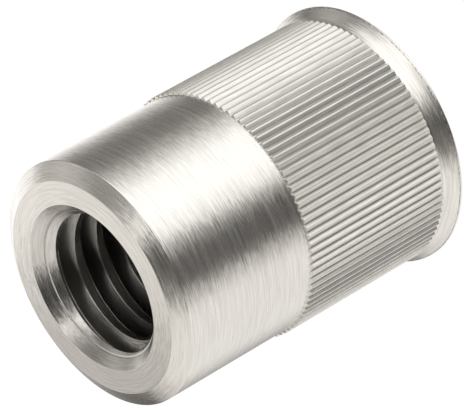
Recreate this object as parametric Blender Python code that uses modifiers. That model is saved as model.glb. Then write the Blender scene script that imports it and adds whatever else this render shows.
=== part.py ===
"""Knurled rivet nut, M6, with a small tapered head.

One turned steel piece: a plain shank with an internal thread, a straight-knurled
collar over the thin-walled zone that folds when the nut is set, and a thin flared head.
Metres, +Z up. The head's outer face lies on z = 0 and the threaded end points up.
"""
import math

import bmesh
import bpy

MM = 0.001

# Whole nut
NUT_LENGTH = 12.8 * MM
SHANK_RADIUS = 4.5 * MM

# Chamfer round the threaded end
END_CHAMFER_WIDTH = 0.59 * MM
END_CHAMFER_HEIGHT = 0.36 * MM

# Head: a concave flare that ends in a thin rim
HEAD_OVERHANG = 0.35 * MM
HEAD_RIM_HEIGHT = 0.08 * MM
HEAD_EDGE_BREAK = 0.03 * MM
FLARE_HEIGHT = 0.50 * MM
FLARE_STEPS = 5

# Straight knurl, raised from the shank above a short neck
NECK_HEIGHT = 0.05 * MM
KNURL_LENGTH = 6.3 * MM
KNURL_TEETH = 98
KNURL_HEIGHT = 0.11 * MM
KNURL_DEPTH = 0.15 * MM
KNURL_CREST_WIDTH = 0.06 * MM
KNURL_RUN_OUT = 0.02 * MM

# Internal thread M6 x 1, cut from the end face to the folding zone's bore
THREAD_PITCH = 1.0 * MM
THREAD_MAJOR_RADIUS = 3.0 * MM
THREAD_FLANK_ANGLE = math.radians(30.0)
THREAD_DEPTH = 0.541 * THREAD_PITCH
THREAD_ROOT_WIDTH = THREAD_PITCH / 8.0
THREAD_CUTTER_MARGIN = 0.1 * THREAD_PITCH
THREAD_FIRST_ROOT = 1.23 * MM
THREAD_STEPS_PER_TURN = 28

# Countersink at the threaded end, in two steps
MOUTH_CLEARANCE = 0.05 * MM
COUNTERSINK_STEP = 0.35 * MM
COUNTERSINK_OUTER_ANGLE = math.radians(45.0)
COUNTERSINK_INNER_ANGLE = math.radians(42.0)

# Thin-walled folding zone behind the head
FOLD_WALL = 0.95 * MM
FOLD_DEPTH = 6.3 * MM
FOLD_SHOULDER_ANGLE = math.radians(60.0)
HEAD_MOUTH_CHAMFER = 0.2 * MM

# Reach of a cutter past the surface that it opens
OVERSHOOT = 0.4 * MM

# Steps round the axis. One outside facet to each knurl tooth keeps every crest flat
OUTSIDE_STEPS = KNURL_TEETH
BORE_STEPS = 84

# Stainless steel as the photo shows it
STEEL_COLOUR = (0.58, 0.56, 0.53, 1.0)
STEEL_ROUGHNESS = 0.28


def clear_scene():
    for old in list(bpy.data.objects):
        bpy.data.objects.remove(old, do_unlink=True)


def new_collection(name):
    made = bpy.data.collections.new(name)
    bpy.context.scene.collection.children.link(made)
    return made


def steel_material():
    steel = bpy.data.materials.new("turned_stainless_steel")
    steel.use_nodes = True
    shader = steel.node_tree.nodes["Principled BSDF"]
    shader.inputs["Base Color"].default_value = STEEL_COLOUR
    shader.inputs["Metallic"].default_value = 1.0
    shader.inputs["Roughness"].default_value = STEEL_ROUGHNESS
    steel.diffuse_color = STEEL_COLOUR
    return steel


def turned_object(name, profile, steps, first_edge, collection):
    """Revolve a profile of (radius, height) pairs, listed from the top down, round +Z.

    The first lengthwise edge of the facets stands at the angle first_edge from +X.
    """
    mesh = bpy.data.meshes.new(name)
    x_share = math.cos(first_edge)
    y_share = math.sin(first_edge)
    points = [(radius * x_share, radius * y_share, height) for radius, height in profile]
    edges = [(i, i + 1) for i in range(len(points) - 1)]
    mesh.from_pydata(points, edges, [])
    turned = bpy.data.objects.new(name, mesh)
    collection.objects.link(turned)
    screw = turned.modifiers.new("Turn", "SCREW")
    screw.axis = "Z"
    screw.angle = math.radians(360.0)
    screw.steps = steps
    screw.render_steps = steps
    screw.use_merge_vertices = True
    screw.merge_threshold = 0.000001
    screw.use_smooth_shade = True
    return turned


def set_as_cutter(cutter):
    cutter.hide_render = True
    cutter.display_type = "WIRE"


def cut(target, cutter, name):
    boolean = target.modifiers.new(name, "BOOLEAN")
    boolean.operation = "DIFFERENCE"
    boolean.solver = "EXACT"
    boolean.object = cutter


def flare_profile(neck_radius, head_radius, top, steps):
    """Concave arc from the neck, where it runs along the axis, out to the rim."""
    reach = head_radius - neck_radius
    sweep = 2.0 * math.atan2(reach, FLARE_HEIGHT)
    radius = FLARE_HEIGHT / math.sin(sweep)
    points = []
    for i in range(steps + 1):
        angle = sweep * i / steps
        out = neck_radius + radius * (1.0 - math.cos(angle))
        points.append((out, top - radius * math.sin(angle)))
    return points


def knurl_span():
    """Heights at which the collar's two end slopes meet the shank."""
    bottom = HEAD_RIM_HEIGHT + HEAD_EDGE_BREAK + FLARE_HEIGHT + NECK_HEIGHT
    return bottom, bottom + KNURL_LENGTH


def outside_profile():
    """Outline of the nut before knurling, from the end face down to the head's face."""
    knurl_bottom, knurl_top = knurl_span()
    crest_radius = SHANK_RADIUS + KNURL_HEIGHT
    head_radius = SHANK_RADIUS + HEAD_OVERHANG
    edge_radius = head_radius - HEAD_EDGE_BREAK
    flare_top = knurl_bottom - NECK_HEIGHT
    profile = [
        (0.0, NUT_LENGTH),
        (SHANK_RADIUS - END_CHAMFER_WIDTH, NUT_LENGTH),
        (SHANK_RADIUS, NUT_LENGTH - END_CHAMFER_HEIGHT),
        (SHANK_RADIUS, knurl_top),
        (crest_radius, knurl_top - KNURL_HEIGHT),
        (crest_radius, knurl_bottom + KNURL_HEIGHT),
        (SHANK_RADIUS, knurl_bottom),
    ]
    profile += flare_profile(SHANK_RADIUS, edge_radius, flare_top, FLARE_STEPS)
    profile += [
        (head_radius, HEAD_RIM_HEIGHT),
        (head_radius, HEAD_EDGE_BREAK),
        (edge_radius, 0.0),
        (0.0, 0.0),
    ]
    return profile


def bore_profile():
    """Countersink, thread core, shoulder and folding zone, as one stepped tool."""
    core_radius = THREAD_MAJOR_RADIUS - THREAD_DEPTH
    fold_radius = SHANK_RADIUS - FOLD_WALL
    mouth_radius = THREAD_MAJOR_RADIUS + MOUTH_CLEARANCE
    step_radius = mouth_radius - COUNTERSINK_STEP
    outer_depth = COUNTERSINK_STEP / math.tan(COUNTERSINK_OUTER_ANGLE)
    inner_depth = (step_radius - core_radius) / math.tan(COUNTERSINK_INNER_ANGLE)
    lead_in = mouth_radius + OVERSHOOT * math.tan(COUNTERSINK_OUTER_ANGLE)
    shoulder = (fold_radius - core_radius) / math.tan(FOLD_SHOULDER_ANGLE)
    return [
        (0.0, NUT_LENGTH + OVERSHOOT),
        (lead_in, NUT_LENGTH + OVERSHOOT),
        (step_radius, NUT_LENGTH - outer_depth),
        (core_radius, NUT_LENGTH - outer_depth - inner_depth),
        (core_radius, FOLD_DEPTH + shoulder),
        (fold_radius, FOLD_DEPTH),
        (fold_radius, HEAD_MOUTH_CHAMFER),
        (fold_radius + HEAD_MOUTH_CHAMFER + OVERSHOOT, -OVERSHOOT),
        (0.0, -OVERSHOOT),
    ]


def thread_cutter(collection):
    """Sweep one 60 degree V along a right-hand helix that runs out at both ends."""
    base_radius = THREAD_MAJOR_RADIUS - THREAD_DEPTH - THREAD_CUTTER_MARGIN
    tip_half = THREAD_ROOT_WIDTH / 2.0
    spread = (THREAD_MAJOR_RADIUS - base_radius) * math.tan(THREAD_FLANK_ANGLE)
    base_half = tip_half + spread
    start = FOLD_DEPTH - THREAD_PITCH / 2.0
    first_root = NUT_LENGTH - THREAD_FIRST_ROOT
    below = math.ceil((first_root - start) / THREAD_PITCH)
    above = math.ceil((NUT_LENGTH + OVERSHOOT - first_root) / THREAD_PITCH)
    turns = below + above
    height = first_root - below * THREAD_PITCH
    corners = [
        (base_radius, 0.0, height - base_half),
        (THREAD_MAJOR_RADIUS, 0.0, height - tip_half),
        (THREAD_MAJOR_RADIUS, 0.0, height + tip_half),
        (base_radius, 0.0, height + base_half),
    ]
    body = bmesh.new()
    section = body.faces.new([body.verts.new(corner) for corner in corners])
    steps = turns * THREAD_STEPS_PER_TURN
    bmesh.ops.spin(
        body,
        geom=[section] + list(section.edges) + list(section.verts),
        cent=(0.0, 0.0, 0.0),
        axis=(0.0, 0.0, 1.0),
        dvec=(0.0, 0.0, THREAD_PITCH / THREAD_STEPS_PER_TURN),
        angle=turns * math.tau,
        steps=steps,
        use_duplicate=False,
    )
    bmesh.ops.recalc_face_normals(body, faces=body.faces)
    mesh = bpy.data.meshes.new("thread_cutter")
    body.to_mesh(mesh)
    body.free()
    cutter = bpy.data.objects.new("thread_cutter", mesh)
    collection.objects.link(cutter)
    set_as_cutter(cutter)
    return cutter


def knurl_cutter(collection):
    """Ring of V-shaped wedges, one between each two teeth, with sloped run-outs."""
    crest_radius = SHANK_RADIUS + KNURL_HEIGHT
    root_radius = crest_radius - KNURL_DEPTH
    outer_radius = crest_radius + KNURL_DEPTH
    tooth_pitch = math.tau * crest_radius / KNURL_TEETH
    outer_half = tooth_pitch - KNURL_CREST_WIDTH
    knurl_bottom, knurl_top = knurl_span()
    top_foot = knurl_top + KNURL_RUN_OUT - SHANK_RADIUS
    bottom_foot = knurl_bottom - KNURL_RUN_OUT + SHANK_RADIUS
    section = [
        (root_radius, 0.0),
        (outer_radius, -outer_half),
        (outer_radius, outer_half),
    ]
    wedge = bmesh.new()
    low = [wedge.verts.new((x, y, bottom_foot - x)) for x, y in section]
    high = [wedge.verts.new((x, y, top_foot + x)) for x, y in section]
    wedge.faces.new(low[::-1])
    wedge.faces.new(high)
    for i in range(len(section)):
        j = (i + 1) % len(section)
        wedge.faces.new((low[i], low[j], high[j], high[i]))
    bmesh.ops.spin(
        wedge,
        geom=list(wedge.verts) + list(wedge.edges) + list(wedge.faces),
        cent=(0.0, 0.0, 0.0),
        axis=(0.0, 0.0, 1.0),
        angle=math.tau * (KNURL_TEETH - 1) / KNURL_TEETH,
        steps=KNURL_TEETH - 1,
        use_duplicate=True,
    )
    bmesh.ops.recalc_face_normals(wedge, faces=wedge.faces)
    mesh = bpy.data.meshes.new("knurl_cutter")
    wedge.to_mesh(mesh)
    wedge.free()
    cutter = bpy.data.objects.new("knurl_cutter", mesh)
    collection.objects.link(cutter)
    set_as_cutter(cutter)
    return cutter


def build():
    clear_scene()
    part_collection = new_collection("rivet_nut_parts")
    cutters = new_collection("cutters")
    nut = turned_object("rivet_nut", outside_profile(), OUTSIDE_STEPS, 0.0, part_collection)
    nut.data.materials.append(steel_material())
    # Half a facet of turn keeps the bore's edges clear of the thread's
    half_facet = math.pi / BORE_STEPS
    bore = turned_object("bore_cutter", bore_profile(), BORE_STEPS, half_facet, cutters)
    set_as_cutter(bore)
    cut(nut, bore, "Bore")
    cut(nut, thread_cutter(cutters), "Thread")
    cut(nut, knurl_cutter(cutters), "Knurl")
    shading = nut.modifiers.new("Shading", "WEIGHTED_NORMAL")
    shading.weight = 100


build()
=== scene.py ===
"""Visual model of an M6 rivet nut in turned stainless steel, standing on its head.

The whole nut is one closed surface: rings of vertices round the axis, each at a
radius worked out from its height and angle. They give the shank and its chamfer, the
straight knurl, the flared head, the countersink, the 60 degree thread and the plain
bore behind it.
"""
import math

import bpy
import numpy as np
from bpy.props import FloatProperty, FloatVectorProperty, IntProperty, PointerProperty
from mathutils import Matrix, Vector


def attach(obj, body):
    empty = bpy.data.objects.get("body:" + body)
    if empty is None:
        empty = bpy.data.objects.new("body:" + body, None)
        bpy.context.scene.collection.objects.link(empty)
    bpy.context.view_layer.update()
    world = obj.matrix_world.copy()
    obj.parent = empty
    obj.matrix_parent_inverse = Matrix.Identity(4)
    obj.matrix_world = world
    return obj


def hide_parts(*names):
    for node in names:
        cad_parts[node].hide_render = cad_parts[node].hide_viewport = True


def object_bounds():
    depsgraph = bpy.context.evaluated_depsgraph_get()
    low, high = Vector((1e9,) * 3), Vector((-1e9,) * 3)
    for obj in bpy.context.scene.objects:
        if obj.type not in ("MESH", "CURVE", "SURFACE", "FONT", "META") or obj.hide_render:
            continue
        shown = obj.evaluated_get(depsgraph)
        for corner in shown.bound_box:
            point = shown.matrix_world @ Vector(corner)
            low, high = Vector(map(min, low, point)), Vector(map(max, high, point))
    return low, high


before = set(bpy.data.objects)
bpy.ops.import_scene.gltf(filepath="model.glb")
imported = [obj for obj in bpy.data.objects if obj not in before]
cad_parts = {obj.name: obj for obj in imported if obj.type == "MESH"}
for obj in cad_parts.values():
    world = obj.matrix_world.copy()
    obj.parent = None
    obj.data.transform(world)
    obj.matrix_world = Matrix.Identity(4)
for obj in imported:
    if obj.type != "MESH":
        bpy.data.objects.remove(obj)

bl_info = {
    "name": "Rivet Nut",
    "version": (1, 0, 0),
    "blender": (4, 5, 0),
    "location": "View3D > Sidebar > Rivet Nut",
    "description": "Makes a knurled rivet nut and a plain studio to look at it in",
    "category": "Add Mesh",
}

CAD_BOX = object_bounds()
CAD_LOW, CAD_HIGH = CAD_BOX

MM = 0.001
NUT_NAME = "rivet_nut_turned"
STEEL_SLOT = "turned_stainless_steel"
# Where the camera stands, in metres, fitted to the nut's ellipses and straight edges
CAMERA_PLACE = (0.0001123, -0.1267334, 0.0915752)

# Columns of vertices over one knurl tooth. The root is at 0, the crest at a half, and each
# flank takes a half, whatever its width
TOOTH_COLUMNS = (0.0, 0.12, 0.24, 0.34, 0.41, 0.45, 0.48, 0.52, 0.55, 0.59, 0.66, 0.76, 0.88)
PLAIN_COLUMNS = 392
BORE_COLUMNS = 224

# The lengths from here to the property groups are in millimetres.
# Distances from an edge at which a support row keeps the face beside it flat to the eye
SUPPORT = 0.02
FINE_SUPPORT = 0.008

# Radii of the broken edges
FACE_ROUND = 0.02
CHAMFER_ROUND = 0.03
FLARE_ROUND = 0.012
RIM_ROUND = 0.008
MOUTH_ROUND = 0.003

# Distances out from a hole's edge of the two rings, on the face round it, that join the
# bore's columns to the outside's
FACE_JOIN = (0.08, 0.10)
HEAD_JOIN = (0.06, 0.10)
# Distances past the knurl's upper end at which its columns end and the shank's begin, and
# past its lower end at which they end
KNURL_JOIN = (0.018, 0.03)
NECK_JOIN = 0.014
# Length of a tooth's end that has rows of its own
TOOTH_END = 0.16

# Edges of the thread's root and crest, in pitches from the middle of the root
ROOT_EDGE = 1.0 / 16.0
CREST_EDGE = 3.0 / 8.0
# Height of the thread over its pitch: five eighths of a sharp thread's
THREAD_HEIGHT = 0.541
FLANK_ANGLE = math.radians(30.0)
# Depth at which the thread's groove starts, and the depth over which it grows to full
GROOVE_START = 0.55
GROOVE_GROWTH = 0.2

INNER_CONE_ANGLE = math.radians(42.0)
TOOL_MARK_WIDTH = 0.012
TOOL_MARK_DEPTH = 0.035
SHOULDER_ANGLE = math.radians(30.0)
# Depth down to which level rows carry the countersink, and height above the folding zone
# up to which they carry its shoulder
COUNTERSINK_ROWS = 0.66
SHOULDER_ROWS = 0.68

# Depth from which the bore counts as tapped
TAPPED_DEPTH = 0.62
# Share of a knurl groove's depth, up from its root, that is darkened with painted shade, and
# how strong, from 0 to 1, the painted shade is on the tool mark and on the countersink
ROOT_PAINTED_SHADE = 0.4
TOOL_MARK_PAINTED_SHADE = 0.5
COUNTERSINK_PAINTED_SHADE = 0.3
# Painted shade on the thread's flanks, from 0 to 1, darker down the bore: how much at a first
# depth, and how much more for each millimetre below it
FIRST_THREAD_SHADE = 0.4
FIRST_THREAD_SHADE_DEPTH = 0.6
THREAD_SHADE_GROWTH = 0.5


def linear(code):
    """Turn an sRGB hex colour into the linear values that a shader takes."""
    shares = [int(code[i : i + 2], 16) / 255.0 for i in (1, 3, 5)]
    return tuple(s / 12.92 if s <= 0.04045 else ((s + 0.055) / 1.055) ** 2.4 for s in shares)


# Surfaces


def rounded(corners, steps=3, support=SUPPORT):
    """Profile through (radius, height, corner radius) points with its corners rounded.

    Each corner becomes an arc that touches both of its sides, with a support point a
    short way along each side.
    """
    points = []
    last_index = len(corners) - 1
    for i, (radius, height, corner) in enumerate(corners):
        here = np.array((radius, height))
        if corner == 0.0 or i in (0, last_index):
            points.append(here)
            continue
        back = np.array(corners[i - 1][:2]) - here
        ahead = np.array(corners[i + 1][:2]) - here
        back /= np.linalg.norm(back)
        ahead /= np.linalg.norm(ahead)
        half = math.acos(back @ ahead) / 2.0
        middle = (back + ahead) / np.linalg.norm(back + ahead)
        centre = here + middle * corner / math.sin(half)
        reach = corner / math.tan(half)
        start = here + back * reach - centre
        end = here + ahead * reach - centre
        sweep = math.pi - 2.0 * half
        points.append(centre + start + back * support)
        for share in np.linspace(0.0, 1.0, steps + 1):
            low = math.sin((1.0 - share) * sweep) / math.sin(sweep)
            high = math.sin(share * sweep) / math.sin(sweep)
            points.append(centre + low * start + high * end)
        points.append(centre + end + ahead * support)
    return points


def flare(neck_radius, edge_radius, top, height, steps=12):
    """Concave curve that leaves the neck along the axis and runs out to the rim's edge.

    The share of the way out is the share of the way down raised to the power 1.6.
    """
    drops = np.linspace(0.0, 1.0, steps + 1)
    outs = neck_radius + (edge_radius - neck_radius) * drops**1.6
    return list(zip(outs, top - height * drops))


def thread_radius(sizes, depth, angle):
    """Radius of the threaded bore at a depth below the end face and an angle round it.

    The groove's root lies one pitch nearer the end face for each turn of the angle.
    From the root, an eighth of the pitch wide, flanks 30 degrees off square fall to
    the core. A groove that would cut the countersink fades out.
    """
    pitch = sizes.thread_pitch / MM
    major = sizes.thread_radius / MM
    root = sizes.thread_start / MM - pitch * angle / math.tau
    turns_off = (depth - root) / pitch
    turn = np.round(turns_off)
    off = np.abs(turns_off - turn) * pitch
    groove = major - np.maximum(off - ROOT_EDGE * pitch, 0.0) / math.tan(FLANK_ANGLE)
    started = np.clip((root + turn * pitch - GROOVE_START) / GROOVE_GROWTH, 0.0, 1.0)
    core = core_radius(sizes)
    return core + np.maximum(groove - core, 0.0) * started


def core_radius(sizes):
    """Radius of the hole through the thread's crests."""
    return (sizes.thread_radius - THREAD_HEIGHT * sizes.thread_pitch) / MM


def countersink_radius(sizes, depth):
    """Radius of the countersink: a 45 degree cone, a fine tool mark, a steeper cone."""
    mouth = (sizes.thread_radius + sizes.mouth_clearance) / MM
    step = sizes.countersink_step / MM
    inner = mouth - step - (depth - step) * math.tan(INNER_CONE_ANGLE)
    cone = np.where(depth < step, mouth - depth, inner)
    mark = np.clip(2.0 - np.abs(depth - step) / TOOL_MARK_WIDTH, 0.0, 1.0)
    return cone + TOOL_MARK_DEPTH * mark


def bore_radius(sizes, depth, angle):
    """Widest of the thread, the countersink and the shoulder of the folding zone."""
    fold = (sizes.shank_radius - sizes.fold_wall) / MM
    above_fold = (sizes.length - sizes.fold_depth) / MM - depth
    shoulder = fold - above_fold / math.tan(SHOULDER_ANGLE)
    radius = np.maximum(thread_radius(sizes, depth, angle), countersink_radius(sizes, depth))
    return np.maximum(radius, np.minimum(shoulder, fold))


def thread_rows(sizes):
    """Distances from the groove's root at which rows run along the thread.

    Each of its four edges is broken by a flat 0.008 mm wide between two support rows,
    and one row runs along the middle of each flank and of the crest.
    """
    pitch = sizes.thread_pitch / MM
    rows = [edge * pitch + near
            for edge in (-CREST_EDGE, -ROOT_EDGE, ROOT_EDGE, CREST_EDGE)
            for near in (-0.014, -0.004, 0.004, 0.014)]
    rows += [-0.22 * pitch, 0.22 * pitch, 0.5 * pitch]
    return np.sort(rows)


def tooth_radius(sizes, column):
    """Radius of the knurl at a column of a tooth: straight flanks between narrow crests."""
    crest = (sizes.shank_radius + sizes.knurl_height) / MM
    flat = sizes.knurl_crest / MM / (math.tau * crest / sizes.knurl_teeth)
    aside = np.clip((np.abs(2.0 * column - 1.0) - flat) / (1.0 - flat), 0.0, 1.0)
    return crest - sizes.knurl_depth / MM * aside


def tooth_angles(sizes):
    """Angle of every column of every tooth. The root lies nearer one of its crests."""
    column = np.array(TOOTH_COLUMNS)
    near = sizes.knurl_crest_share
    share = np.where(column < 0.5, 2.0 * near * column, 1.0 - 2.0 * (1.0 - near) * (1.0 - column))
    turns = np.arange(sizes.knurl_teeth)[:, None] + share + sizes.knurl_turn
    return turns.ravel() * math.tau / sizes.knurl_teeth


def knurl_rows(sizes, column, foot, outward):
    """Radii and heights of the rows across one end of the knurl, from outside it in.

    A crest rises from the shank up a steep slope that starts at the foot. A root falls
    below the shank down a run-out as steep, a little further out. The two join where
    the tooth is level with the shank, so each end is a ring of points.
    """
    shank = sizes.shank_radius / MM
    tooth = tooth_radius(sizes, column)
    proud = tooth > shank
    start = foot + outward * np.where(proud, 0.0, sizes.knurl_run_out / MM)
    end = start - outward * np.abs(tooth - shank) / math.tan(sizes.knurl_end_slope)
    level = np.full_like(tooth, shank)
    rows = [(level, start + outward * FINE_SUPPORT)]
    for part in (0.0, 0.15, 0.85, 1.0):
        rows.append((level + (tooth - level) * part, start + (end - start) * part))
    rows.append((tooth, end - outward * FINE_SUPPORT))
    return rows


class Shell:
    """Collects rings of vertices and the triangles between them."""

    def __init__(self):
        self.points = []
        self.faces = []
        self.count = 0

    def ring(self, radius, height, angle):
        """Add a ring and give back the number of each of its vertices."""
        radius, height, angle = np.broadcast_arrays(radius, height, angle)
        flat = np.stack([radius * np.cos(angle), radius * np.sin(angle), height], -1)
        numbers = self.count + np.arange(len(flat))
        self.points.append(flat)
        self.count += len(flat)
        return numbers

    def strip(self, upper, lower):
        """Join two closed rings that have a vertex at each of the same angles."""
        upper_next = np.roll(upper, -1)
        lower_next = np.roll(lower, -1)
        self.faces.append(np.stack([upper, lower, lower_next], 1))
        self.faces.append(np.stack([upper, lower_next, upper_next], 1))

    def zip_rings(self, upper, upper_angle, lower, lower_angle):
        """Join two closed rings whose vertices stand at different angles.

        Each edge of one ring makes a triangle with the vertex of the other ring that
        comes last before the edge's far end. A hair's breadth keeps equal angles in step.
        """
        hair = 1e-9
        other = np.searchsorted(lower_angle, upper_angle + hair, side="right") - 1
        far = np.roll(upper, -1)
        far_other = np.roll(other, -1)
        self.faces.append(np.stack([upper, lower[far_other], far], 1))
        other = np.searchsorted(upper_angle, lower_angle - hair, side="right") - 1
        far = np.roll(lower, -1)
        far_other = np.roll(other, -1)
        self.faces.append(np.stack([upper[far_other], lower, far], 1))

    def mesh(self, name):
        """Weld equal vertices, drop the triangles this closes, and make the mesh."""
        points = np.concatenate(self.points)
        faces = np.concatenate(self.faces)
        _, first, same = np.unique(
            np.round(points, 6), axis=0, return_index=True, return_inverse=True
        )
        faces = same.reshape(-1)[faces]
        a, b, c = faces.T
        faces = faces[(a != b) & (b != c) & (c != a)]
        mesh = bpy.data.meshes.new(name)
        mesh.vertices.add(len(first))
        mesh.vertices.foreach_set("co", (points[first] * MM).ravel())
        mesh.loops.add(faces.size)
        mesh.loops.foreach_set("vertex_index", faces.ravel().astype(np.int32))
        mesh.polygons.add(len(faces))
        mesh.polygons.foreach_set("loop_start", np.arange(0, faces.size, 3, dtype=np.int32))
        mesh.polygons.foreach_set("use_smooth", np.ones(len(faces), bool))
        mesh.update(calc_edges=True)
        mesh.validate()
        return mesh


def outside(shell, sizes):
    """Rings from the end face's inner edge, down the outside, to the head's inner edge."""
    plain = np.arange(PLAIN_COLUMNS) * math.tau / PLAIN_COLUMNS
    column = np.tile(TOOTH_COLUMNS, sizes.knurl_teeth)
    fine = tooth_angles(sizes)
    length = sizes.length / MM
    shank = sizes.shank_radius / MM
    head = shank + sizes.head_overhang / MM
    mouth = (sizes.thread_radius + sizes.mouth_clearance) / MM
    fold = (sizes.shank_radius - sizes.fold_wall) / MM
    face = shank - sizes.chamfer_width / MM
    rim = sizes.rim_height / MM
    rim_break = sizes.rim_break / MM
    flare_top = rim + rim_break + sizes.flare_height / MM
    knurl_foot = flare_top + sizes.neck_height / MM
    knurl_top = knurl_foot + sizes.knurl_length / MM
    run_out = sizes.knurl_run_out / MM

    top = rounded([
        (mouth + FACE_JOIN[1], length, 0.0),
        (face, length, FACE_ROUND),
        (shank, length - sizes.chamfer_height / MM, CHAMFER_ROUND),
        (shank, knurl_top + run_out + KNURL_JOIN[1], 0.0),
    ])
    rings = [shell.ring(radius, height, plain) for radius, height in top]
    for upper, lower in zip(rings, rings[1:]):
        shell.strip(upper, lower)
    first = rings[0]
    upper = rings[-1]

    level = np.full_like(fine, shank)
    rows = [(level, knurl_top + run_out + KNURL_JOIN[0])]
    rows += knurl_rows(sizes, column, knurl_top, 1.0)
    middle = tooth_radius(sizes, column)
    heights = np.linspace(knurl_top - TOOTH_END, knurl_foot + TOOTH_END, 4)
    rows += [(middle, height) for height in heights]
    rows += knurl_rows(sizes, column, knurl_foot, -1.0)[::-1]
    rows.append((level, knurl_foot - run_out - NECK_JOIN))
    rings = [shell.ring(radius, height, fine) for radius, height in rows]
    shell.zip_rings(upper, plain, rings[0], fine)
    for above, below in zip(rings, rings[1:]):
        shell.strip(above, below)
    upper = rings[-1]

    bottom = [(shank, flare_top + FINE_SUPPORT)]
    bottom += flare(shank, head - rim_break, flare_top, sizes.flare_height / MM)[:-1]
    bottom += rounded([
        (*bottom[-1], 0.0),
        (head - rim_break, rim + rim_break, FLARE_ROUND),
        (head, rim, RIM_ROUND),
        (head, rim_break, RIM_ROUND),
        (head - rim_break, 0.0, RIM_ROUND),
        (fold + sizes.mouth_chamfer / MM + HEAD_JOIN[1], 0.0, 0.0),
    ], steps=2)[1:]
    rings = [shell.ring(radius, height, plain) for radius, height in bottom]
    shell.zip_rings(upper, fine, rings[0], plain)
    for above, below in zip(rings, rings[1:]):
        shell.strip(above, below)
    return first, rings[-1], plain


def bore(shell, sizes):
    """Rings from the countersink's mouth down the bore to the head's face.

    Level rows carry the countersink and the shoulder, where flat rings matter. Between
    them the rows run along the thread. They are cut off level at both ends, and each
    meets the row one turn further on at the seam.
    """
    turn = np.arange(BORE_COLUMNS) * math.tau / BORE_COLUMNS
    length = sizes.length / MM
    mouth = (sizes.thread_radius + sizes.mouth_clearance) / MM
    fold = (sizes.shank_radius - sizes.fold_wall) / MM
    fold_depth = sizes.fold_depth / MM
    chamfer = sizes.mouth_chamfer / MM
    pitch = sizes.thread_pitch / MM
    shoulder_end = length - fold_depth
    last_level = shoulder_end - SHOULDER_ROWS

    first_cone = 0.05
    lip = rounded([
        (mouth + FACE_JOIN[0], length, 0.0),
        (mouth, length, MOUTH_ROUND),
        (mouth - first_cone, length - first_cone, 0.0),
    ], support=MOUTH_ROUND)
    rings = [shell.ring(radius, height, turn) for radius, height in lip[:-1]]
    row_step = 0.01
    cone_depths = np.arange(first_cone, COUNTERSINK_ROWS - 0.4 * row_step, row_step)
    for depth in np.append(cone_depths, COUNTERSINK_ROWS):
        rings.append(shell.ring(bore_radius(sizes, depth, turn), length - depth, turn))
    for above, below in zip(rings, rings[1:]):
        shell.strip(below, above)
    first = rings[0]

    offsets = thread_rows(sizes)
    turns = math.ceil((last_level + pitch) / pitch) + 2
    base = (np.arange(-2, turns)[:, None] * pitch + offsets).ravel()
    depth = base[:, None] + sizes.thread_start / MM - pitch * turn / math.tau
    depth = np.clip(depth, COUNTERSINK_ROWS, last_level)
    angle = np.broadcast_to(turn, depth.shape)
    grid = shell.ring(
        bore_radius(sizes, depth, angle).ravel(), length - depth.ravel(), angle.ravel()
    ).reshape(depth.shape)
    row = np.arange(len(base))
    seam = grid[np.maximum(row - len(offsets), 0), 0]
    ahead = np.concatenate([grid[:, 1:], seam[:, None]], 1)
    for corners in ((grid[:-1], ahead[1:], grid[1:]), (grid[:-1], ahead[:-1], ahead[1:])):
        shell.faces.append(np.stack([corner.ravel() for corner in corners], 1))

    rings = []
    row_step = 0.02
    shoulder_depths = np.arange(last_level, shoulder_end - 0.5 * row_step, row_step)
    for depth in np.append(shoulder_depths, shoulder_end - FINE_SUPPORT):
        rings.append(shell.ring(bore_radius(sizes, depth, turn), length - depth, turn))
    low = rounded([
        (fold, fold_depth - FINE_SUPPORT, 0.0),
        (fold, chamfer, CHAMFER_ROUND),
        (fold + chamfer, 0.0, FACE_ROUND),
        (fold + chamfer + HEAD_JOIN[0], 0.0, 0.0),
    ])
    low.insert(1, np.array((fold, fold_depth - 2.0 * SUPPORT)))
    rings += [shell.ring(radius, height, turn) for radius, height in low]
    for above, below in zip(rings, rings[1:]):
        shell.strip(below, above)
    return first, rings[-1], turn


def nut_mesh(sizes):
    """The nut's closed surface, with its faces outwards."""
    shell = Shell()
    face_out, head_out, plain = outside(shell, sizes)
    face_in, head_in, turn = bore(shell, sizes)
    shell.zip_rings(face_in, turn, face_out, plain)
    shell.zip_rings(head_out, plain, head_in, turn)
    return shell.mesh(NUT_NAME)


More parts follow.
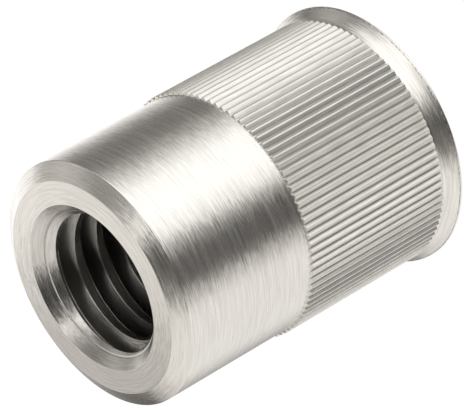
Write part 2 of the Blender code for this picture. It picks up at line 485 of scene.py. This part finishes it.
def mark_finish_and_shade(mesh, sizes):
    """Store where the knurl, the painted shade and the thread are, for the steel's material.

    Painted shade grows from none to full down the lowest part of each knurl groove, and is
    even on the tool mark, as the painted shadow of its step, and on the countersink. On the
    thread's flanks it is darker the deeper they are.
    """
    places = np.empty(len(mesh.vertices) * 3)
    mesh.vertices.foreach_get("co", places)
    places = places.reshape(-1, 3)
    radius = np.hypot(places[:, 0], places[:, 1])
    depth = sizes.length - places[:, 2]

    foot = sizes.rim_height + sizes.rim_break + sizes.flare_height + sizes.neck_height
    off_middle = np.abs(places[:, 2] - foot - sizes.knurl_length / 2.0)
    outer = radius > sizes.shank_radius - sizes.knurl_depth
    knurled = outer & (off_middle < sizes.knurl_length / 2.0 - 0.01 * MM)
    crest = sizes.shank_radius + sizes.knurl_height
    down = (crest - radius) / sizes.knurl_depth
    # Painted shade: the lowest part of each knurl groove is darkened, as if in shadow
    painted_shade = np.where(knurled, np.clip((down - 1.0 + ROOT_PAINTED_SHADE) / ROOT_PAINTED_SHADE, 0.0, 1.0), 0.0)

    mouth = sizes.thread_radius + sizes.mouth_clearance
    tapped = (radius < sizes.thread_radius + 0.02 * MM) & (depth > TAPPED_DEPTH * MM)
    # Painted shade: the countersink is darkened, and the tool mark more, as the painted shadow of
    # its step
    sunk = (radius < mouth) & (depth > 0.002 * MM) & ~tapped
    marked = np.abs(depth - sizes.countersink_step) < 0.015 * MM
    painted_shade = np.where(sunk, np.where(marked, TOOL_MARK_PAINTED_SHADE, COUNTERSINK_PAINTED_SHADE), painted_shade)

    edge = 0.003 * MM
    core = core_radius(sizes) * MM
    flank = tapped & (radius > core + edge) & (radius < sizes.thread_radius - edge)
    # Painted shade: the thread's flanks grow darker the deeper they lie in the bore
    thread_shade = np.clip(FIRST_THREAD_SHADE + (depth / MM - FIRST_THREAD_SHADE_DEPTH) * THREAD_SHADE_GROWTH, 0.0, 1.0)
    painted_shade = np.where(tapped, np.where(flank, thread_shade, 0.0), painted_shade)

    for name, values in (("knurled", knurled), ("painted_shade_share", painted_shade), ("tapped", tapped)):
        attribute = mesh.attributes.new(name, "FLOAT", "POINT")
        attribute.data.foreach_set("value", values.astype(np.float32))


# Materials


def add_node(tree, kind, inputs=None, **settings):
    """Add a node, set its settings, and link or set its inputs."""
    made = tree.nodes.new(kind)
    for name, value in settings.items():
        setattr(made, name, value)
    for socket, value in (inputs or {}).items():
        if isinstance(value, bpy.types.NodeSocket):
            tree.links.new(value, made.inputs[socket])
        else:
            made.inputs[socket].default_value = value
    return made


def fill_ramp(ramp, stops):
    """Give a colour ramp its (place, grey, warmth) stops."""
    elements = ramp.elements
    while len(elements) > 1:
        elements.remove(elements[-1])
    for i, (place, grey, warmth) in enumerate(stops):
        element = elements[0] if i == 0 else elements.new(place)
        element.position = place
        element.color = (grey, grey * (1.0 - 0.5 * warmth), grey * (1.0 - warmth), 1.0)


def nut_places(tree):
    """Each point's height, its distance from the axis and the level way out to it."""
    place = add_node(tree, "ShaderNodeTexCoord").outputs["Object"]
    height = add_node(tree, "ShaderNodeSeparateXYZ", {0: place}).outputs["Z"]
    level = add_node(tree, "ShaderNodeVectorMath", {0: place, 1: (1.0, 1.0, 0.0)},
                     operation="MULTIPLY").outputs[0]
    radius = add_node(tree, "ShaderNodeVectorMath", {0: level},
                      operation="LENGTH").outputs["Value"]
    outward = add_node(tree, "ShaderNodeVectorMath", {0: level},
                       operation="NORMALIZE").outputs[0]
    return height, radius, outward


def ring_noise(tree, places, width, run):
    """Noise in rings round the axis, a width in mm across and a run in radians long.

    It has four dimensions: height and radius over the width, and the two parts of the
    way out over the run.
    """
    height, radius, outward = places
    heading = add_node(tree, "ShaderNodeSeparateXYZ", {0: outward})
    across = [add_node(tree, "ShaderNodeMath", {0: value, 1: 1.0 / (width * MM)},
                       operation="MULTIPLY").outputs[0] for value in (height, radius)]
    along = [add_node(tree, "ShaderNodeMath", {0: heading.outputs[axis], 1: 1.0 / run},
                      operation="MULTIPLY").outputs[0] for axis in ("X", "Y")]
    spot = add_node(tree, "ShaderNodeCombineXYZ", {0: across[0], 1: across[1], 2: along[0]})
    return add_node(tree, "ShaderNodeTexNoise",
                    {"Vector": spot.outputs[0], "W": along[1], "Scale": 1.0, "Detail": 1.5},
                    noise_dimensions="4D").outputs["Fac"]


def steel_marks(tree, places, knurled, sizes):
    """Rings that the turning tool leaves, and scratches along the knurl's teeth."""
    height, _, outward = places
    # The tool's feed is about 0.03 mm a turn, drawn at 0.045 mm so that it shows
    feed = ring_noise(tree, places, width=0.045, run=0.25)
    # The knurling wheel presses the rings flat and leaves scratches along the teeth, about
    # 0.02 mm apart, drawn at 0.05 mm, and 0.8 mm long
    across = add_node(tree, "ShaderNodeVectorMath",
                      {0: outward, 3: sizes.shank_radius / (0.05 * MM)},
                      operation="SCALE").outputs[0]
    along = add_node(tree, "ShaderNodeMath", {0: height, 1: 1.0 / (0.8 * MM)},
                     operation="MULTIPLY").outputs[0]
    scratches = add_node(tree, "ShaderNodeTexNoise",
                         {"Vector": across, "W": along, "Scale": 1.0, "Detail": 1.5},
                         noise_dimensions="4D").outputs["Fac"]
    return add_node(tree, "ShaderNodeMix", {0: knurled, 2: feed, 3: scratches}).outputs[0]


def steel_tone(tree, marks, sizes):
    """Colour of the steel, darker in its marks, and darker still where painted shade is stored."""
    colour = add_node(tree, "ShaderNodeValToRGB", {0: marks})
    base = np.array(sizes.steel_colour)
    for element, place, tone in zip(colour.color_ramp.elements, (0.3, 0.7), (0.88, 1.08)):
        element.position = place
        element.color = (*np.minimum(base * tone, 1.0), 1.0)
    # Painted shade: where the mesh stores it, the colour falls towards 0.35 of itself
    painted_shade_share = add_node(tree, "ShaderNodeAttribute", attribute_name="painted_shade_share").outputs["Fac"]
    unshaded_share = add_node(tree, "ShaderNodeMapRange",
                     {"Value": painted_shade_share, "To Min": 1.0, "To Max": 0.35}).outputs["Result"]
    return add_node(tree, "ShaderNodeVectorMath", {0: colour.outputs["Color"], 3: unshaded_share},
                    operation="SCALE").outputs[0]


def steel_gloss(tree, places, knurled, tapped, sizes):
    """Roughness, which drifts over the turned faces and is even on knurl and thread."""
    drift = ring_noise(tree, places, width=0.12, run=0.6)
    turned = add_node(tree, "ShaderNodeMapRange",
                      {"Value": drift, "From Min": 0.3, "From Max": 0.7,
                       "To Min": sizes.steel_roughness * 0.85,
                       "To Max": sizes.steel_roughness * 1.15}).outputs["Result"]
    outer = add_node(tree, "ShaderNodeMix",
                     {0: knurled, 2: turned, 3: sizes.knurl_roughness}).outputs[0]
    return add_node(tree, "ShaderNodeMix",
                    {0: tapped, 2: outer, 3: sizes.thread_roughness}).outputs[0]


def steel_normal(tree, places, marks, tangent, tapped):
    """The way the steel faces, with its marks, its scratches and the lean of its feed."""
    outward = places[2]
    bump = add_node(tree, "ShaderNodeBump",
                    {"Height": marks, "Distance": 0.002 * MM, "Strength": 1.0}).outputs[0]
    # Each scratch tilts the surface a little round the axis, which frays every band's edge
    streak = ring_noise(tree, places, width=0.03, run=0.08)
    tilt = add_node(tree, "ShaderNodeMapRange",
                    {"Value": streak, "From Min": 0.3, "From Max": 0.7,
                     "To Min": -0.05, "To Max": 0.05}).outputs["Result"]
    sideways = add_node(tree, "ShaderNodeVectorMath", {0: tangent, 3: tilt},
                        operation="SCALE").outputs[0]
    # Each turn of feed is a small sawtooth, so a turned face leans outwards as a whole. A
    # tapped one hardly leans
    lean = add_node(tree, "ShaderNodeMix", {0: tapped, 2: 0.10, 3: -0.01}).outputs[0]
    outwards = add_node(tree, "ShaderNodeVectorMath", {0: outward, 3: lean},
                        operation="SCALE").outputs[0]
    normal = bump
    for turned_by in (sideways, outwards):
        normal = add_node(tree, "ShaderNodeVectorMath", {0: normal, 1: turned_by},
                          operation="ADD").outputs[0]
    return add_node(tree, "ShaderNodeVectorMath", {0: normal}, operation="NORMALIZE").outputs[0]


def steel_material(sizes):
    """Stainless steel, turned on a lathe: bright, warm grey, with fine rings from the tool.

    The rings spread each reflection across them and leave its edges streaky. The
    knurling wheel leaves its teeth duller, with no rings.
    """
    material = bpy.data.materials.new(STEEL_SLOT)
    material.use_nodes = True
    tree = material.node_tree
    tree.nodes.clear()
    places = nut_places(tree)
    knurled = add_node(tree, "ShaderNodeAttribute", attribute_name="knurled").outputs["Fac"]
    tapped = add_node(tree, "ShaderNodeAttribute", attribute_name="tapped").outputs["Fac"]
    tangent = add_node(tree, "ShaderNodeTangent", direction_type="RADIAL", axis="Z").outputs[0]
    marks = steel_marks(tree, places, knurled, sizes)
    shader = add_node(tree, "ShaderNodeBsdfPrincipled", {
        "Base Color": steel_tone(tree, marks, sizes),
        "Metallic": 1.0,
        "Roughness": steel_gloss(tree, places, knurled, tapped, sizes),
        "Normal": steel_normal(tree, places, marks, tangent, tapped),
        "Anisotropic": add_node(tree, "ShaderNodeMix", {0: knurled, 2: 0.6, 3: 0.0}).outputs[0],
        "Anisotropic Rotation": 0.25,
        "Tangent": tangent,
    })
    add_node(tree, "ShaderNodeOutputMaterial", {"Surface": shader.outputs[0]})
    material.diffuse_color = (*sizes.steel_colour, 1.0)
    return material


# Studio


def floor_material():
    """Matt white paper: white to the camera, faintly shaded where the nut keeps light off.

    A glossy ray goes through it to the studio round it, which the steel mirrors. Under
    the nut it is plain paper.
    """
    material = bpy.data.materials.new("white_paper_floor")
    material.use_nodes = True
    tree = material.node_tree
    tree.nodes.clear()
    ray = add_node(tree, "ShaderNodeLightPath")
    # The glow brings open paper up to white, and 0.15 of paper takes the nut's shadow
    glow = add_node(tree, "ShaderNodeEmission", {"Color": (1.0, 1.0, 1.0, 1.0), "Strength": 1.06})
    paper = add_node(tree, "ShaderNodeBsdfDiffuse", {"Color": (*linear("#F4F3F1"), 1.0)})
    seen = add_node(tree, "ShaderNodeMixShader", {0: 0.15, 1: glow.outputs[0], 2: paper.outputs[0]})
    clear = add_node(tree, "ShaderNodeBsdfTransparent")
    outside_nut = add_node(tree, "ShaderNodeMixShader", {
        0: ray.outputs["Is Glossy Ray"], 1: seen.outputs[0], 2: clear.outputs[0]})
    place = add_node(tree, "ShaderNodeTexCoord").outputs["Object"]
    away = add_node(tree, "ShaderNodeVectorMath", {0: place}, operation="LENGTH").outputs["Value"]
    beyond = add_node(tree, "ShaderNodeMath", {0: away, 1: CAD_HIGH.x - 0.1 * MM},
                      operation="GREATER_THAN").outputs[0]
    mixed = add_node(tree, "ShaderNodeMixShader", {
        0: beyond, 1: paper.outputs[0], 2: outside_nut.outputs[0]})
    add_node(tree, "ShaderNodeOutputMaterial", {"Surface": mixed.outputs[0]})
    return material


# The studio as the steel mirrors it: white sheets all round with dark gaps between
# them. Each stop is (degrees round the nut from +X towards +Y, grey, warmth)
SHEETS_BELOW = (
    (-180, 1.04, 0.02), (-152, 1.06, 0.02), (-140, 0.68, 0.04), (-126, 0.06, 0.10),
    (-104, 0.06, 0.10), (-92, 0.40, 0.05), (-82, 1.30, 0.00), (-60, 1.60, 0.00),
    (-36, 1.50, 0.00), (-24, 1.10, 0.00), (-10, 0.48, 0.05), (6, 0.18, 0.08), (30, 0.18, 0.08),
    (46, 0.50, 0.04), (60, 0.95, 0.02), (72, 1.30, 0.00), (86, 1.30, 0.00), (96, 0.50, 0.04),
    (110, 0.36, 0.05), (126, 0.75, 0.03), (142, 1.04, 0.02), (180, 1.04, 0.02),
)
SHEETS_LEVEL = (
    (-180, 1.10, 0.02), (-155, 1.15, 0.02), (-142, 0.75, 0.03), (-130, 0.17, 0.08),
    (-108, 0.14, 0.08), (-96, 0.45, 0.05), (-86, 1.30, 0.00), (-60, 1.70, 0.00),
    (-30, 1.60, 0.00), (-16, 1.25, 0.00), (0, 0.42, 0.05), (16, 0.55, 0.05), (28, 0.42, 0.06),
    (42, 0.18, 0.08), (52, 0.50, 0.05), (62, 1.30, 0.02), (80, 1.40, 0.00), (92, 0.32, 0.04),
    (102, 0.12, 0.08), (114, 0.14, 0.08), (128, 0.80, 0.05), (144, 1.05, 0.02),
    (180, 1.10, 0.02),
)
SHEETS_ABOVE = (
    (-180, 1.10, 0.04), (-164, 1.10, 0.04), (-151, 0.85, 0.05), (-138, 0.25, 0.08),
    (-112, 0.10, 0.08), (-100, 0.25, 0.05), (-92, 0.70, 0.04), (-84, 1.30, 0.02),
    (-60, 1.60, 0.02), (-38, 1.50, 0.02), (-26, 1.20, 0.02), (-14, 0.55, 0.05),
    (-2, 0.22, 0.06), (10, 0.32, 0.06), (26, 0.60, 0.05), (45, 0.85, 0.05), (60, 1.00, 0.05),
    (78, 1.15, 0.05), (93, 1.06, 0.05), (101, 0.45, 0.06), (113, 0.40, 0.06), (124, 0.65, 0.05),
    (134, 1.05, 0.05), (180, 1.10, 0.04),
)
SHEETS_UNDER = (
    (-180, 0.95, 0.04), (-140, 0.60, 0.04), (-105, 0.40, 0.04), (-70, 1.00, 0.02),
    (-30, 1.00, 0.02), (10, 0.50, 0.04), (50, 0.70, 0.04), (90, 0.80, 0.04), (135, 0.90, 0.04),
    (180, 0.95, 0.04),
)
SHEETS_TOP = (
    (-180, 1.30, 0.05), (-172, 1.00, 0.05), (-161, 0.14, 0.06), (-148, 0.03, 0.08),
    (-115, 0.03, 0.08), (-84, 0.03, 0.08), (-65, 0.24, 0.05), (-50, 2.00, 0.03), (-30, 0.80, 0.04),
    (-10, 0.28, 0.05), (30, 0.40, 0.05), (75, 1.00, 0.05), (120, 1.05, 0.05), (150, 1.00, 0.05),
    (180, 0.90, 0.05),
)


def studio_world(world):
    """White to the camera. To the steel, five rings of sheets, one above another."""
    world.use_nodes = True
    tree = world.node_tree
    tree.nodes.clear()
    ray = add_node(tree, "ShaderNodeLightPath")
    way = add_node(tree, "ShaderNodeTexCoord").outputs["Generated"]
    parts = add_node(tree, "ShaderNodeSeparateXYZ", {0: way})
    turn = add_node(tree, "ShaderNodeMath", {0: parts.outputs["Y"], 1: parts.outputs["X"]},
                    operation="ARCTAN2").outputs[0]
    turn = add_node(tree, "ShaderNodeMath", {0: turn, 1: 1.0 / math.tau, 2: 0.5},
                    operation="MULTIPLY_ADD").outputs[0]
    colours = []
    for sheets in (SHEETS_UNDER, SHEETS_BELOW, SHEETS_LEVEL, SHEETS_ABOVE, SHEETS_TOP):
        ramp = add_node(tree, "ShaderNodeValToRGB", {0: turn})
        ramp.color_ramp.interpolation = "EASE"
        stops = [((degrees + 180.0) / 360.0, grey, warmth) for degrees, grey, warmth in sheets]
        fill_ramp(ramp.color_ramp, stops)
        colours.append(ramp.outputs["Color"])
    seen = colours[0]
    # Heights, as the sine of the angle above level, over which each ring of sheets gives
    # way to the next one up
    steps = ((-0.95, -0.62), (-0.50, -0.02), (0.15, 0.55), (0.62, 0.86))
    for (low, high), colour in zip(steps, colours[1:]):
        share = add_node(tree, "ShaderNodeMapRange",
                         {"Value": parts.outputs["Z"], "From Min": low, "From Max": high},
                         interpolation_type="SMOOTHSTEP").outputs["Result"]
        seen = add_node(tree, "ShaderNodeMix", {"Factor": share, 6: seen, 7: colour},
                        data_type="RGBA").outputs[2]
    room = add_node(tree, "ShaderNodeBackground", {"Color": seen, "Strength": 1.0})
    white = add_node(tree, "ShaderNodeBackground", {"Color": (1.0, 1.0, 1.0, 1.0), "Strength": 1.0})
    mixed = add_node(tree, "ShaderNodeMixShader", {
        0: ray.outputs["Is Glossy Ray"], 1: white.outputs[0], 2: room.outputs[0]})
    add_node(tree, "ShaderNodeOutputWorld", {"Surface": mixed.outputs[0]})
    world.cycles.sampling_method = "NONE"


def length_property(name, description, default):
    """A length that shows in the scene's own units."""
    return FloatProperty(name=name, description=description, default=default * MM,
                         min=0.0, precision=5, unit="LENGTH", subtype="DISTANCE")


class RivetNutSizes(bpy.types.PropertyGroup):
    """Sizes and finish of the nut."""

    length: length_property("Length", "Whole length, head to threaded end",
                            (CAD_HIGH.z - CAD_LOW.z) / MM)
    shank_radius: length_property("Shank radius", "Radius of the plain shank", 4.5)
    chamfer_width: length_property("Chamfer width", "Width of the end chamfer", 0.59)
    chamfer_height: length_property("Chamfer height", "Height of the end chamfer", 0.36)
    head_overhang: length_property("Head overhang", "How far the head stands out",
                                   (CAD_HIGH.x - CAD_LOW.x) / 2.0 / MM - 4.5)
    rim_height: length_property("Rim height", "Height of the head's thin rim", 0.08)
    rim_break: length_property("Rim break", "Size of the rim's broken edges", 0.03)
    flare_height: length_property("Flare height", "Height of the flare above the rim", 0.50)
    neck_height: length_property("Neck height", "Plain shank between flare and knurl", 0.05)
    knurl_length: length_property("Knurl length", "Length of the knurled collar", 6.3)
    knurl_height: length_property("Knurl height", "How far the crests stand out", 0.11)
    knurl_depth: length_property("Knurl depth", "Depth from crest to root", 0.12)
    knurl_crest: length_property("Knurl crest", "Width of each crest", 0.04)
    knurl_turn: FloatProperty(name="Knurl turn", description="Turn of the knurl, in teeth",
                              default=0.50, min=0.0, max=1.0, subtype="FACTOR")
    knurl_crest_share: FloatProperty(name="Knurl crest place",
                                     description="Share of a tooth's width from root to crest",
                                     default=0.68, min=0.1, max=0.9, subtype="FACTOR")
    knurl_end_slope: FloatProperty(name="Knurl end slope", description="Slope of the teeth's ends",
                                   default=math.radians(72.0), subtype="ANGLE", unit="ROTATION")
    knurl_run_out: length_property("Knurl run-out", "Reach of a root past its crest", 0.02)
    knurl_teeth: IntProperty(name="Knurl teeth", description="Teeth round the collar",
                             default=98, min=12, max=200)
    thread_pitch: length_property("Thread pitch", "Distance between turns", 1.0)
    thread_radius: length_property("Thread radius", "Radius of the thread's root", 3.0)
    thread_start: length_property("Thread start", "Depth of the first root at +X", 1.23)
    mouth_clearance: length_property("Mouth clearance", "Mouth's radius past the thread's", 0.05)
    countersink_step: length_property("Countersink step", "Depth of the outer cone", 0.35)
    fold_wall: length_property("Fold wall", "Wall of the folding zone", 0.95)
    fold_depth: length_property("Fold depth", "Height of the wide bore behind the head", 6.3)
    mouth_chamfer: length_property("Head mouth chamfer", "Chamfer at the head's hole", 0.2)
    steel_colour: FloatVectorProperty(name="Steel", description="Colour of the bare steel",
                                      subtype="COLOR", size=3, min=0.0, max=1.0,
                                      default=linear("#DAD7D1"))
    steel_roughness: FloatProperty(name="Roughness", description="Roughness of the turned steel",
                                   default=0.26, min=0.0, max=1.0, subtype="FACTOR")
    knurl_roughness: FloatProperty(name="Knurl roughness", description="Roughness of the teeth",
                                   default=0.42, min=0.0, max=1.0, subtype="FACTOR")
    thread_roughness: FloatProperty(name="Thread roughness", description="Roughness of the thread",
                                    default=0.26, min=0.0, max=1.0, subtype="FACTOR")


class StudioSettings(bpy.types.PropertyGroup):
    """Camera and floor."""

    floor_size: FloatProperty(name="Floor size", description="Side of the floor",
                              default=4.0, unit="LENGTH", subtype="DISTANCE")
    lens: FloatProperty(name="Lens", description="Focal length on a 36 mm sensor",
                        default=347.1, unit="CAMERA")
    elevation: FloatProperty(name="Elevation", description="Camera's angle above the floor",
                             default=math.radians(33.96), unit="ROTATION", subtype="ANGLE")
    roll: FloatProperty(name="Roll", description="Camera's turn about its own line of sight",
                        default=math.radians(-119.591), unit="ROTATION", subtype="ANGLE")
    place: FloatVectorProperty(name="Place", description="Where the camera stands",
                               default=CAMERA_PLACE, size=3,
                               subtype="TRANSLATION", unit="LENGTH", precision=6)


class RIVETNUT_OT_nut(bpy.types.Operator):
    """Make the rivet nut and its steel"""

    bl_idname = "rivetnut.nut"
    bl_label = "Make Rivet Nut"

    def execute(self, context):
        sizes = context.scene.rivet_nut_sizes
        mesh = nut_mesh(sizes)
        mark_finish_and_shade(mesh, sizes)
        nut = bpy.data.objects.new(NUT_NAME, mesh)
        context.scene.collection.objects.link(nut)
        nut.data.materials.append(steel_material(sizes))
        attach(nut, "root")
        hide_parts("rivet_nut")
        return {"FINISHED"}


class RIVETNUT_OT_studio(bpy.types.Operator):
    """Make the floor, the light round it and the camera"""

    bl_idname = "rivetnut.studio"
    bl_label = "Make Studio"

    def execute(self, context):
        settings = context.scene.rivet_nut_studio
        half = settings.floor_size / 2.0
        corners = [(-half, -half, 0.0), (half, -half, 0.0), (half, half, 0.0), (-half, half, 0.0)]
        mesh = bpy.data.meshes.new("floor")
        mesh.from_pydata(corners, [], [(0, 1, 2, 3)])
        floor = bpy.data.objects.new("floor", mesh)
        context.scene.collection.objects.link(floor)
        mesh.materials.append(floor_material())

        world = bpy.data.worlds.new("studio")
        studio_world(world)
        context.scene.world = world

        lens = bpy.data.cameras.new("camera")
        lens.sensor_width = 36.0
        lens.lens = settings.lens
        lens.clip_start = 0.01
        lens.clip_end = 10.0
        camera = bpy.data.objects.new("camera", lens)
        context.scene.collection.objects.link(camera)
        tilt = settings.elevation
        back = Vector((0.0, -math.cos(tilt), math.sin(tilt)))
        upright = Vector((0.0, math.sin(tilt), math.cos(tilt)))
        right = Vector((math.cos(settings.roll), 0.0, 0.0)) + upright * math.sin(settings.roll)
        axes = Matrix((right, back.cross(right), back)).transposed().to_4x4()
        camera.matrix_world = Matrix.Translation(settings.place) @ axes
        context.scene.camera = camera
        context.scene.view_settings.view_transform = "Standard"
        return {"FINISHED"}


class RIVETNUT_PT_panel(bpy.types.Panel):
    """Sizes of the nut and of its studio, with a button for each"""

    bl_idname = "RIVETNUT_PT_panel"
    bl_label = "Rivet Nut"
    bl_space_type = "VIEW_3D"
    bl_region_type = "UI"
    bl_category = "Rivet Nut"

    def draw(self, context):
        groups = (
            (context.scene.rivet_nut_sizes, RIVETNUT_OT_nut),
            (context.scene.rivet_nut_studio, RIVETNUT_OT_studio),
        )
        for settings, operator in groups:
            column = self.layout.column()
            for name in settings.__annotations__:
                column.prop(settings, name)
            column.operator(operator.bl_idname)


CLASSES = (RivetNutSizes, StudioSettings, RIVETNUT_OT_nut, RIVETNUT_OT_studio, RIVETNUT_PT_panel)


def register():
    for cls in CLASSES:
        bpy.utils.register_class(cls)
    bpy.types.Scene.rivet_nut_sizes = PointerProperty(type=RivetNutSizes)
    bpy.types.Scene.rivet_nut_studio = PointerProperty(type=StudioSettings)


def unregister():
    del bpy.types.Scene.rivet_nut_studio
    del bpy.types.Scene.rivet_nut_sizes
    for cls in reversed(CLASSES):
        bpy.utils.unregister_class(cls)


def main():
    register()
    bpy.ops.rivetnut.nut()
    bpy.ops.rivetnut.studio()


if __name__ == "__main__":
    main()
